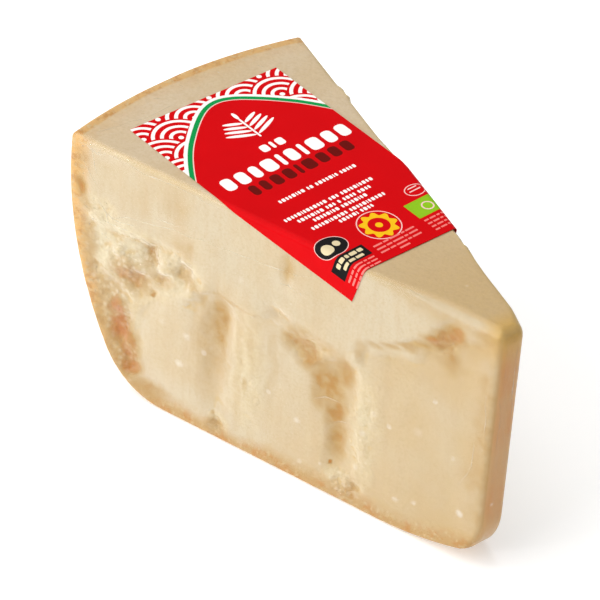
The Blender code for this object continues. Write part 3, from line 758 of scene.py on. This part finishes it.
# Creases: fine folds where the film had more width than it could shrink away. Each is a line of (distance
# from the wheel's axis, turn from the wedge's middle in degrees, height), laid on the film. The next three
# are how wide a fold is, how far apart its points are and how far it wavers, in millimetres.
FOLD_WIDTH = 0.25
FOLD_STEP = 1.2
FOLD_WAVER = 1.3
FOLDS = [
    [(206, -15, 111.9), (190, -15, 111.2), (170, -15, 111.3), (149, -15, 111)],
    [(202, -15, 82.7), (193.4, -15, 86.1), (178.6, -15, 89.5), (165, -15, 91.5), (149, -15, 93.5)],
    [(149, -15, 93.5), (135, -15, 94.9), (122, -15, 95.7), (104, -15, 99.5)],
    [(216, -15, 113), (208, -15, 109), (203, -15, 111.8)],
    [(212, -15, 113.6), (209.5, -15, 106), (207.5, -15, 99)],
    [(214, -15, 104), (210, -15, 97), (205, -15, 92)],
    [(204, -15, 84.5), (196, -15, 82.5), (189, -15, 83.8)],
    [(205, -15, 80), (197, -15, 78.6), (191, -15, 80.5)],
    [(207.5, -15, 89), (203, -15, 84), (201.5, -15, 78)],
    [(180, -15, 93.6), (173, -15, 92.6), (167, -15, 93.4)],
    [(121, -15, 90), (116, -15, 91), (112, -15, 88.6)],
    [(102.7, -15, 42.5), (97, -15, 45.6), (90.4, -15, 46)],
    [(93.6, -15, 33), (90, -15, 35.6), (87, -15, 37.4)],
    [(30.5, -15, 60), (29.9, -15, 48.7), (35.6, -15, 34.2)],
    [(27, -15, 84), (26, -15, 66)],
    [(22.4, -9, 84), (22.2, -8, 70), (22.3, -9, 58)],
    [(22.3, 7, 106), (22.3, 6, 86), (22.2, 8, 72)],
    [(66, -13, 114), (58, -14.5, 113.6)],
    [(212, -13, 114), (206, -8, 114), (205, -4, 114)],
    [(213, -13.4, 114), (209, -11.5, 114)],
    [(214, -11, 114), (210, -10.4, 114)],
    [(213.5, -5, 114), (211.6, -4.4, 114)],
    [(214, -1, 114), (211.8, -0.8, 114)],
    [(213, 4, 114), (211.2, 4.1, 114)],
    [(210, 8, 114), (207, 8.6, 114)],
    [(216, 14, 113), (205, 15, 106), (188, 15, 102), (168, 15, 103)],
    [(212, 15, 92), (196, 15, 88), (180, 15, 92)],
    [(140, 15, 99), (120, 15, 92), (96, 15, 90), (76, 15, 93)],
    [(60, 15, 104), (48, 15, 92), (36, 15, 86), (28, 15, 70)],
    [(52, 15, 60), (40, 15, 48), (34, 15, 30)],
    [(150, 15, 24), (128, 15, 14), (104, 15, 12)],
    [(220, 14, 110), (219, 11, 100), (217, 12, 84)],
    [(220, 10, 112), (220, 6, 106), (220, 4, 96)],
    [(220, -14, 110), (219, -11, 98), (216, -12, 80), (210, -13, 62)],
    [(220, -7, 112), (220, -4, 104), (219, -5, 92)],
    [(206, -14, 30), (212, -9, 46), (214, -3, 52)],
    [(200, 14, 18), (208, 9, 34), (212, 6, 50)],
]
# Short white marks crowd where the film is wrinkled, painted glints of its small puckers: a middle, a
# reach and a number for each group.
PUCKER_GLINTS = [(206, 78, 6, 12, 14), (196, 64, 9, 9, 12), (211, 104, 4, 9, 6), (173, 76, 8, 7, 8),
           (117, 90, 6, 3, 3), (122, 74, 6, 3, 5), (194, 36, 6, 9, 6), (86, 9, 6, 4, 5),
           (148, 7, 4, 3, 3), (45, 99, 4, 4, 2)]
chance = random.Random(5)
# The folds waver at random too, and from a seed of their own, so that they are the same each time.
noise.seed_set(5)
for middle_s, middle_h, reach_s, reach_h, number in PUCKER_GLINTS:
    for _pucker in range(number):
        start_s = middle_s + reach_s * chance.uniform(-1, 1)
        start_h = middle_h + reach_h * chance.uniform(-1, 1)
        length = chance.uniform(0.7, 1.8)
        heading = chance.uniform(0, 2 * math.pi)
        FOLDS.append([(start_s, -15, start_h), (start_s + length * math.cos(heading), -15,
                                                start_h + length * math.sin(heading))])
bpy.ops.object.select_all(action="DESELECT")
fold_lines = bpy.data.curves.new("film_folds", "CURVE")
fold_lines.dimensions = "3D"
fold_lines.bevel_depth = FOLD_WIDTH / 2 * MM
fold_lines.bevel_resolution = 1
for line in FOLDS:
    distances, turns, heights = np.transpose(line)
    turns = np.radians(turns)
    corners = np.transpose((-distances * np.cos(turns), distances * np.sin(turns), heights))
    lengths = np.concatenate(([0], np.cumsum(np.linalg.norm(np.diff(corners, axis=0), axis=1))))
    steps = np.linspace(0, lengths[-1], max(int(lengths[-1] / FOLD_STEP), 4))
    track = np.transpose([np.interp(steps, lengths, corners[:, axis]) for axis in range(3)])
    fold = fold_lines.splines.new("POLY")
    fold.points.add(len(steps) - 1)
    for point, spot, step in zip(fold.points, track, steps / lengths[-1]):
        spot = Vector(spot) + FOLD_WAVER * noise.noise_vector(Vector(spot) / 9)
        _found, on_film, facing_out, _face = film.closest_point_on_mesh(spot * MM + wheel_axis)
        point.co = (*(on_film + 0.05 * MM * facing_out), 1)
        point.radius = math.sin(math.pi * step) ** 0.5 * (0.8 + 0.5 * noise.noise(spot / 4))
folds = bpy.data.objects.new("film_folds", fold_lines)
bpy.context.scene.collection.objects.link(folds)
folds.select_set(True)
bpy.context.view_layer.objects.active = folds
bpy.ops.object.convert(target="MESH")
bpy.ops.object.shade_smooth()

# Film folded on itself goes milky, in patches 6 mm long, because light is turned back at each layer; the
# white is also a painted highlight, standing in for the glints that the creases catch.
milky_and_glinting = new_material("folded_film_and_painted_glints")
milky_place = add_node(milky_and_glinting, "TexCoord", [], output="Object")
milky_patches = add_node(milky_and_glinting, "TexNoise", {"Vector": milky_place, "Scale": 160.0, "Detail": 2.0})
milky_and_glint_tone = mixed(milky_and_glinting, milky_patches, "#fbeed2", "#fffaf0")
milky_alpha = add_node(milky_and_glinting, "MapRange", [milky_patches, 0.35, 0.65, 0.05, 0.4])
milky_and_glint_shader = add_node(milky_and_glinting, "BsdfPrincipled", {"Base Color": milky_and_glint_tone, "Roughness": 0.25, "IOR": 1.5,
                                                  "Alpha": milky_alpha})
finish_material(milky_and_glinting, milky_and_glint_shader)
folds = bpy.context.object
folds.data.materials.append(milky_and_glinting)
film.select_set(True)
bpy.context.view_layer.objects.active = film
bpy.ops.object.join()
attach(film, "root")
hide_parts("cheese_in_film")

# ---------------------------------------------------------------------------------------------------
# The label: a sheet of coated paper, printed in red, white and a few spot colours, and glued flat on the
# sealed top, with its two long sides folded down over the cut edges.
# ---------------------------------------------------------------------------------------------------
# In millimetres from the wheel's axis, along the wedge and across it. On the far side the label stands off
# the flat of the cut, because the cheese swells out there.
LABEL_BACK = -201.0
LABEL_FRONT = -80.8
LABEL_NEAR = -38.1
LABEL_FAR = 34.7
LABEL_THICKNESS = 0.2
LABEL_GAP = 0.17
LABEL_FAR_STAND_OFF = 2.3
BEND_RADIUS = CUT_EDGE + LABEL_GAP + LABEL_THICKNESS / 2

# The arch, whose top points to the rind: a thin pale line, green, a white band, then the wave pattern. Its
# line is a rounded top between straight sides, which flare out near the label's edges. The borders of its
# bands are measured from that line towards the rind.
ARCH_TOP = -196.4
ARCH_MIDDLE = 0.4
ARCH_ROUNDING = 15
ARCH_STEEPNESS = 1.1
FLARE_START = 24
FLARE_RATE = 0.02
GREEN_HALF_WIDTH = 0.95
PALE_LINE = 0.45
WHITE_BAND = 1.5
BAND_BORDERS = [GREEN_HALF_WIDTH + WHITE_BAND, GREEN_HALF_WIDTH, -GREEN_HALF_WIDTH,
                -GREEN_HALF_WIDTH - PALE_LINE]


def arch_line(y, offset):
    """The arch's line at y, moved this far towards the rind, as (x, y)."""
    across = y - ARCH_MIDDLE
    flare = max(abs(across) - FLARE_START, 0)
    reach = math.hypot(ARCH_ROUNDING, ARCH_STEEPNESS * across)
    x = ARCH_TOP + reach - ARCH_ROUNDING + FLARE_RATE * flare ** 2
    slope = ARCH_STEEPNESS ** 2 * across / reach + math.copysign(2 * FLARE_RATE * flare, across)
    length = math.hypot(1, slope)
    return x - offset / length, y + offset * slope / length


def past_arch(x, y, offset):
    """Whether a point is on the rind's side of the arch's line."""
    stride = 0.5
    foot = arch_line(y, 0)[0]
    ahead = arch_line(y + stride, 0)[0]
    slope = (ahead - foot) / stride
    return (foot - x) / math.hypot(1, slope) > offset


# The wave pattern: overlapping rows of rings, in red and white, each row laid over the one behind it.
WAVE_RADII = [(12.6, "red"), (11.65, "white"), (10.15, "red"), (8.15, "white"), (6.65, "red"),
              (4.65, "white"), (3.15, "red"), (1.1, "white")]
WAVE_REACH = WAVE_RADII[0][0]
WAVE_PITCH = 2 * WAVE_REACH
WAVE_ROWS = [(-200.0 + 7.25 * row, 0.0 if row % 2 == 0 else WAVE_REACH) for row in range(8)]


def ring_reach(x, y, row):
    """How far a point is from the nearest ring's middle in a row of the wave pattern."""
    row_x, row_y = row
    nearest = round((y - row_y) / WAVE_PITCH) * WAVE_PITCH + row_y
    return math.hypot(x - row_x, y - nearest)


def wave_ink(x, y):
    """The ink of the wave pattern at a point: that of the frontmost ring that covers it."""
    for row in reversed(WAVE_ROWS):
        reach = ring_reach(x, y, row)
        if reach <= WAVE_REACH:
            return [ink for radius, ink in WAVE_RADII if reach <= radius][-1]
    return "red"


def tilted(x, y):
    """The rows of print lie a little askew on the label."""
    return x - 0.04 * y, y


def block(ink, x, y, length, width, corner=0.0):
    """A printed block across the label: x is its side nearest the rind, y its lower end."""
    corner = min(corner, width / 2, length / 2)
    ends = [(x + length, y + width, 0), (x, y + width, 90), (x, y, 180), (x + length, y, 270)]
    points = []
    for end_x, end_y, start in ends:
        if corner == 0:
            points.append(tilted(end_x, end_y))
            continue
        centre_x = end_x - math.copysign(corner, end_x - x - length / 2)
        centre_y = end_y - math.copysign(corner, end_y - y - width / 2)
        for turn in range(0, 91, 30):
            angle = math.radians(start + turn)
            points.append(tilted(centre_x + corner * math.cos(angle), centre_y + corner * math.sin(angle)))
    return ink, points


def ring(ink, x, y, half_length, half_width, sides=40):
    """A printed disc or oval."""
    turns = [2 * math.pi * side / sides for side in range(sides)]
    return ink, [(x + half_length * math.cos(turn), y + half_width * math.sin(turn)) for turn in turns]


def row_of_blocks(ink, x, length, low_y, high_y, widths, gap):
    """A row of blocks with gaps, which together fill the label from low_y to high_y."""
    scale = (high_y - low_y - gap * (len(widths) - 1)) / sum(widths)
    made = []
    y = low_y
    for width in widths:
        made.append(block(ink, x, y, length, width * scale, 0.25 * length))
        y += width * scale + gap
    return made


prints = []
# Title: a row of large white blocks, a row of maroon ones under it, and a small white row above.
prints += row_of_blocks("white", -156.1, 7.6, -32.0, 31.5, [5, 5, 4, 6, 2, 5, 2, 6, 5, 5], 2.0)
prints += row_of_blocks("maroon", -146.9, 6.4, -25.2, 26.0, [4, 4, 5, 5, 2, 6, 5, 5, 5], 1.8)
prints += row_of_blocks("white", -163.8, 4.4, -5.2, 6.4, [5, 2, 5], 1.3)
# Six rows of small white blocks, in groups.
SMALL_ROWS = [(-133.3, -20.8, [8, 2, 7, 5]), (-123.2, -26.6, [13, 3, 10]),
              (-119.9, -22.7, [8, 3, 1, 4, 4]), (-116.9, -17.4, [8, 8]), (-113.3, -21.3, [11, 11]),
              (-110.5, -9.9, [6, 4])]
SMALL_WIDTHS = [2, 3, 2, 2, 3, 1, 2, 3, 2, 3, 2, 2, 3]
SMALL_PITCH = 1.65
SMALL_GAP = 0.55
GROUP_GAP = 1.6
for row_x, low_y, groups in SMALL_ROWS:
    for number in groups:
        high_y = low_y + SMALL_PITCH * number - SMALL_GAP
        prints += row_of_blocks("white", row_x, 1.9, low_y, high_y, SMALL_WIDTHS[:number], SMALL_GAP)
        low_y = high_y + GROUP_GAP
# A sprig in the arch: a stem with four pairs of slim leaves, shorter towards its end, and one at its end.
SPRIG_FOOT = -170.4
SPRIG_MIDDLE = 0.6
LEAF_SPACING = 2.9
LEAF_HALF_WIDTH = 0.85
for leaf in range(9):
    side = leaf % 2 * 2 - 1 if leaf < 8 else 0
    pair = leaf // 2
    turn = math.radians(66) * side
    length = 6.2 - 0.7 * pair if leaf < 8 else 2.4
    centre_x = SPRIG_FOOT - LEAF_SPACING * pair - length * math.cos(turn)
    centre_y = SPRIG_MIDDLE + side * (0.6 + length * math.sin(abs(turn)))
    oval = [(length * math.cos(t), LEAF_HALF_WIDTH * math.sin(t))
            for t in np.linspace(0, 2 * math.pi, 28, endpoint=False)]
    prints.append(("white", [(centre_x + a * math.cos(turn) - b * math.sin(turn),
                              centre_y - a * math.sin(turn) - b * math.cos(turn)) for a, b in oval]))
prints.append(block("white", -182.0, 0.1, 13.6, 0.9, 0.4))
# Roundel: a pale ring, then a yellow flower of nine petals with a red middle.
ROUNDEL_X = -98.9
ROUNDEL_Y = 0.9
prints += [ring("pale", ROUNDEL_X, ROUNDEL_Y, 8.8, 8.8), ring("red", ROUNDEL_X, ROUNDEL_Y, 8.35, 8.35)]
flower = [(6.9 + 0.9 * math.cos(9 * t), t) for t in np.linspace(0, 2 * math.pi, 108, endpoint=False)]
prints.append(("yellow", [(ROUNDEL_X + reach * math.cos(t), ROUNDEL_Y + reach * math.sin(t))
                          for reach, t in flower]))
prints += [ring("red", ROUNDEL_X, ROUNDEL_Y, 4.4, 4.4), ring("yellow", ROUNDEL_X, ROUNDEL_Y, 1.5, 1.5)]
# Black oval with a cream disc, and a black strip with pale blocks.
prints += [ring("pale", -99.2, -22.4, 5.5, 7.3), ring("black", -99.2, -22.4, 5.2, 7.0)]
prints += [ring("cream", -98.6, -24.6, 2.6, 2.6), ring("cream", -99.6, -19.6, 1.6, 1.6)]
prints.append(block("black", -94.2, -31.9, 6.6, 19.5))
prints += row_of_blocks("cream", -93.0, 1.9, -28.6, -13.8, [3, 3, 2, 4, 3], 0.6)
prints += row_of_blocks("cream", -90.0, 1.4, -27.0, -15.4, [4, 3, 4], 0.6)
# Green panel with a pale circle, and an outlined oval with two bars.
prints.append(block("leaf", -101.8, 16.0, 9.6, 16.0))
prints += [ring("pale", -97.6, 24.0, 2.6, 2.6), ring("leaf", -97.6, 24.0, 2.0, 2.0)]
prints += [ring("pale", -107.8, 26.4, 3.5, 4.6), ring("red", -107.8, 26.4, 3.1, 4.2),
           block("pale", -107.0, 23.6, 0.6, 5.6), block("pale", -108.8, 24.2, 0.6, 4.4)]
# Fine print along the front edge: pale rows in three columns.
for line in range(4):
    row_x = -90.6 + 2.2 * line
    prints += row_of_blocks("pink", row_x, 0.9, 16.4, 27.0, [3, 4, 2, 3], 0.6)
    if line < 3:
        prints += row_of_blocks("pink", row_x, 0.9, -9.7, 10.9, [5, 3, 6, 2, 5], 0.6)
    else:
        prints += row_of_blocks("pink", row_x, 0.9, -1.9, 3.1, [3], 0.6)
for line in range(3):
    prints += row_of_blocks("pink", -86.4 + 1.9 * line, 0.8, -31.0, -13.0, [5, 3, 6, 2, 4], 0.6)


# Each print with the box that it fills, so that most places on the label are told apart quickly.
print_boxes = []
for ink, points in prints:
    xs, ys = zip(*points)
    print_boxes.append(((min(xs), max(xs), min(ys), max(ys)), ink, points))


def inside(x, y, points):
    """Whether a point lies within a closed outline."""
    crossings = False
    for (ax, ay), (bx, by) in zip(points, points[1:] + points[:1]):
        if (ay > y) != (by > y) and x < (bx - ax) * (y - ay) / (by - ay) + ax:
            crossings = not crossings
    return crossings


def label_ink(x, y):
    """The ink on the label at a point: the arch's bands first, then the frontmost print, then the red."""
    if past_arch(x, y, BAND_BORDERS[0]):
        return wave_ink(x, y)
    for border, band_ink in zip(BAND_BORDERS[1:], ["white", "green", "pale"]):
        if past_arch(x, y, border):
            return band_ink
    for (low_x, high_x, low_y, high_y), ink, points in reversed(print_boxes):
        if low_x <= x <= high_x and low_y <= y <= high_y and inside(x, y, points):
            return ink
    return "red"


# Every outline becomes edges of one flat sheet, so that each printed field has crisp, clean borders.
plan_points = [(LABEL_BACK, LABEL_NEAR), (LABEL_FRONT, LABEL_NEAR), (LABEL_FRONT, LABEL_FAR),
               (LABEL_BACK, LABEL_FAR)]
plan_edges = [(0, 1), (1, 2), (2, 3), (3, 0)]


def draw(points, closed, wanted=None):
    """Adds a line to the sheet's plan, leaving out the stretches that don't show."""
    kept = [wanted is None or wanted(x, y) for x, y in points]
    first = len(plan_points)
    plan_points.extend(points)
    last = len(points) if closed else len(points) - 1
    for at in range(last):
        ahead = (at + 1) % len(points)
        if kept[at] or kept[ahead]:
            plan_edges.append((first + at, first + ahead))


def on_label(x, y):
    """Whether a point lies on the label's sheet, clear of its border."""
    return LABEL_BACK < x < LABEL_FRONT and LABEL_NEAR < y < LABEL_FAR


def ring_shows(x, y, in_front):
    """Whether a ring shows here: not under a row in front, nor outside the pattern's corners."""
    if not on_label(x, y) or not past_arch(x, y, BAND_BORDERS[0]):
        return False
    return all(ring_reach(x, y, row) >= WAVE_REACH for row in in_front)


# The arch's lines run a little past the label's sides, and each row of rings is hidden by those in front.
PLAN_MARGIN = 2
for border in BAND_BORDERS:
    draw([arch_line(y, border) for y in np.linspace(-46, 43, 90)], False,
         lambda x, y: LABEL_NEAR - PLAN_MARGIN < y < LABEL_FAR + PLAN_MARGIN)
for row, (row_x, row_y) in enumerate(WAVE_ROWS):
    for step in range(-2, 3):
        for radius, ink in WAVE_RADII:
            _ink, points = ring(ink, row_x, row_y + step * WAVE_PITCH, radius, radius, 48)
            draw(points, True, lambda x, y: ring_shows(x, y, WAVE_ROWS[row + 1:]))
for _box, _ink, points in print_boxes:
    draw([(float(x), float(y)) for x, y in points], True)

flat_points, _edges, flat_faces, *_sources = geometry.delaunay_2d_cdt(
    [Vector(point) for point in plan_points], plan_edges, [], 0, 1e-4)

# The inks, and the bare paper of the label's back and edges.
INK_COLOURS = {
    "red": "#d0040c",
    "white": "#fbf7f3",
    "green": "#10954a",
    "pale": "#f6c9c2",
    "maroon": "#68100c",
    "leaf": "#8cbf22",
    "yellow": "#f5c01c",
    "black": "#1b1a1a",
    "cream": "#dfcfa6",
    "pink": "#ee7f78",
    "paper": "#f1ede6",
}
INKS = list(INK_COLOURS)
sheet = bmesh.new()
sheet_verts = [sheet.verts.new((x, y, 0)) for x, y in flat_points]
for corners in flat_faces:
    x, y = sum((flat_points[corner] for corner in corners), Vector((0, 0))) / len(corners)
    if on_label(x, y):
        face = sheet.faces.new([sheet_verts[corner] for corner in corners])
        face.material_index = INKS.index(label_ink(x, y))
loose = [vert for vert in sheet.verts if not vert.link_faces]
bmesh.ops.delete(sheet, geom=loose, context="VERTS")


def past_bend_start(x, y, side):
    """How far a point of the flat label is past the line where it starts to bend down over a cut side."""
    stand_off = LABEL_FAR_STAND_OFF if side > 0 else 0
    return x * HALF_SINE + side * y * HALF_COSINE - stand_off + CUT_EDGE


def wrap(place):
    """Takes a point of the flat label to where it lies: flat on top, round the edge, or down the side."""
    for side in (-1, 1):
        past = past_bend_start(place.x, place.y, side)
        if past > 0:
            turn = min(past / BEND_RADIUS, math.pi / 2)
            inward = past - BEND_RADIUS * math.sin(turn)
            hanging = max(past - BEND_RADIUS * math.pi / 2, 0)
            place.x -= inward * HALF_SINE
            place.y -= side * inward * HALF_COSINE
            place.z -= BEND_RADIUS * (1 - math.cos(turn)) + hanging


def score(line_point, across):
    """Divides the flat sheet along a line, so that it can bend there."""
    whole = sheet.verts[:] + sheet.edges[:] + sheet.faces[:]
    bmesh.ops.bisect_plane(sheet, geom=whole, dist=1e-5, plane_co=line_point, plane_no=across)


# The sheet is scored along both bends and in 4 mm squares, then laid on the film with slight ripples and
# folded down.
BEND_STEPS = 6
SQUARE = 4
RIPPLE_HEIGHT = 0.06
RIPPLE_LENGTH = 9
for side in (-1, 1):
    across = Vector((HALF_SINE, side * HALF_COSINE, 0))
    for step in range(BEND_STEPS + 1):
        past = BEND_RADIUS * math.pi / 2 * step / BEND_STEPS
        score(across * (past - past_bend_start(0, 0, side)), across)
for step in range(1, 30):
    score((LABEL_BACK + SQUARE * step, 0, 0), (1, 0, 0))
    score((0, LABEL_NEAR + SQUARE * step, 0), (0, 1, 0))
for vert in sheet.verts:
    x, y = vert.co.xy
    vert.co.z = CHUNK_HEIGHT + LABEL_GAP + LABEL_THICKNESS
    vert.co.z += RIPPLE_HEIGHT * noise.noise((x / RIPPLE_LENGTH, y / RIPPLE_LENGTH, 2.0))
    wrap(vert.co)
    vert.co = vert.co * MM + wheel_axis
label_mesh = bpy.data.meshes.new("label")
sheet.to_mesh(label_mesh)
sheet.free()
label = bpy.data.objects.new("label", label_mesh)
bpy.context.scene.collection.objects.link(label)
bpy.ops.object.select_all(action="DESELECT")
label.select_set(True)
bpy.context.view_layer.objects.active = label
paper_wall = label.modifiers.new("paper", "SOLIDIFY")
paper_wall.thickness = LABEL_THICKNESS * MM
paper_wall.offset = -1
paper_wall.use_even_offset = False
paper_wall.material_offset = len(INKS)
paper_wall.material_offset_rim = len(INKS)
bpy.ops.object.modifier_apply(modifier=paper_wall.name)
bpy.ops.object.shade_smooth_by_angle(angle=math.radians(40))

# Coated label paper printed with offset inks: even colour, a faint mottle 17 mm across, and a satin face
# over fibres, which are drawn coarser than they are, at 1.4 mm, so that they show.
for ink in INKS:
    coated = new_material("printed_paper_" + ink)
    ink_place = add_node(coated, "TexCoord", [], output="Object")
    fibres = add_node(coated, "TexNoise", {"Vector": ink_place, "Scale": 700.0, "Detail": 3.0})
    mottle = add_node(coated, "TexNoise", {"Vector": ink_place, "Scale": 60.0, "Detail": 2.0})
    shade = add_node(coated, "MapRange", [mottle, 0.3, 0.7, 0.94, 1.0])
    ink_colour = add_node(coated, "VectorMath", [linear(INK_COLOURS[ink])[:3], shade], operation="MULTIPLY")
    paper_bump = add_node(coated, "Bump", {"Strength": 0.2, "Distance": 0.00005, "Height": fibres})
    ink_roughness = add_node(coated, "MapRange", [fibres, 0.3, 0.7, 0.3, 0.4])
    coated_shader = add_node(coated, "BsdfPrincipled", {"Base Color": ink_colour, "Roughness": ink_roughness,
                                                        "Normal": paper_bump, "IOR": 1.3,
                                                        "Specular IOR Level": 0.08})
    finish_material(coated, coated_shader)
    label.data.materials.append(coated)
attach(label, "root")
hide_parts("paper_label")

# ---------------------------------------------------------------------------------------------------
# The floor: a wide sheet of matt white studio paper, which isn't part of the object. It lies just under the
# film, and glows a little: painted light, which keeps shadows on it pale and lights the cheese from below.
# ---------------------------------------------------------------------------------------------------
bpy.ops.object.select_all(action="DESELECT")
bpy.ops.mesh.primitive_plane_add(size=6, location=(0, 0, solid_low.z - 2 * FILM_GAP * MM))
floor = bpy.context.object
floor.name = "floor"
floor_paper = new_material("glowing_studio_paper")
floor_place = add_node(floor_paper, "TexCoord", [], output="Object")
floor_mottle = add_node(floor_paper, "TexNoise", {"Vector": floor_place, "Scale": 3.0, "Detail": 2.0})
floor_colour = mixed(floor_paper, floor_mottle, "#f7f7f7", "#fbfbfb")
floor_shader = add_node(floor_paper, "BsdfPrincipled", {"Base Color": floor_colour, "Roughness": 0.9,
                                                        "Emission Color": (1, 1, 1, 1),
                                                        "Emission Strength": 0.3})
finish_material(floor_paper, floor_shader)
floor.data.materials.append(floor_paper)

# ---------------------------------------------------------------------------------------------------
# The studio: a large soft box up on the left of the camera, a weaker one overhead, two small lamps whose
# mirror images make the film glint, a pale room, and a long lens. None of it is part of the object.
# ---------------------------------------------------------------------------------------------------
# What the lights and the camera face: a point beside the near side, level with the top, in metres.
target = wheel_axis + Vector((-0.0815, -0.05205, 0.114))


def soft_box(name, direction, distance, size, power):
    """A square area light that faces the cheese from this direction. Metres and watts."""
    bpy.ops.object.light_add(type="AREA", location=target + Vector(direction).normalized() * distance)
    lamp = bpy.context.object
    lamp.name = name
    lamp.rotation_euler = (target - lamp.location).to_track_quat("-Z", "Y").to_euler()
    lamp.data.size = size
    lamp.data.energy = power


soft_box("key_soft_box", (-0.30, -0.72, 0.42), 1.7, 1.8, 22.2)
soft_box("overhead_soft_box", (-0.40, 0.0, 1.0), 2.0, 1.6, 18)
soft_box("high_shine_lamp", (-0.45, -0.55, 0.70), 1.6, 0.12, 2)
soft_box("low_shine_lamp", (-0.22, -0.95, 0.28), 1.6, 0.10, 2.5)

room = bpy.data.worlds.new("pale_room")
room.use_nodes = True
room_light = room.node_tree.nodes["Background"]
room_light.inputs["Color"].default_value = (1, 1, 1, 1)
room_light.inputs["Strength"].default_value = 0.43
bpy.context.scene.world = room
bpy.context.scene.view_settings.view_transform = "Standard"

# The camera stands to the right of the near side and above it, 1.4 m away, and is rolled by 4 degrees.
camera_distance = 1.4039
camera_roll = math.radians(4.1)
azimuth = math.radians(47.8)
elevation = math.radians(38.1)
towards_camera = Vector((math.sin(azimuth) * math.cos(elevation), -math.cos(azimuth) * math.cos(elevation),
                         math.sin(elevation)))
bpy.ops.object.camera_add(location=target + towards_camera * camera_distance)
camera = bpy.context.object
camera.name = "camera"
level_view = (-towards_camera).to_track_quat("-Z", "Y")
camera.rotation_euler = (level_view @ Quaternion((0, 0, 1), camera_roll)).to_euler()
camera.data.lens = 231
camera.data.sensor_width = 36
camera.data.clip_end = 20
bpy.context.scene.camera = camera
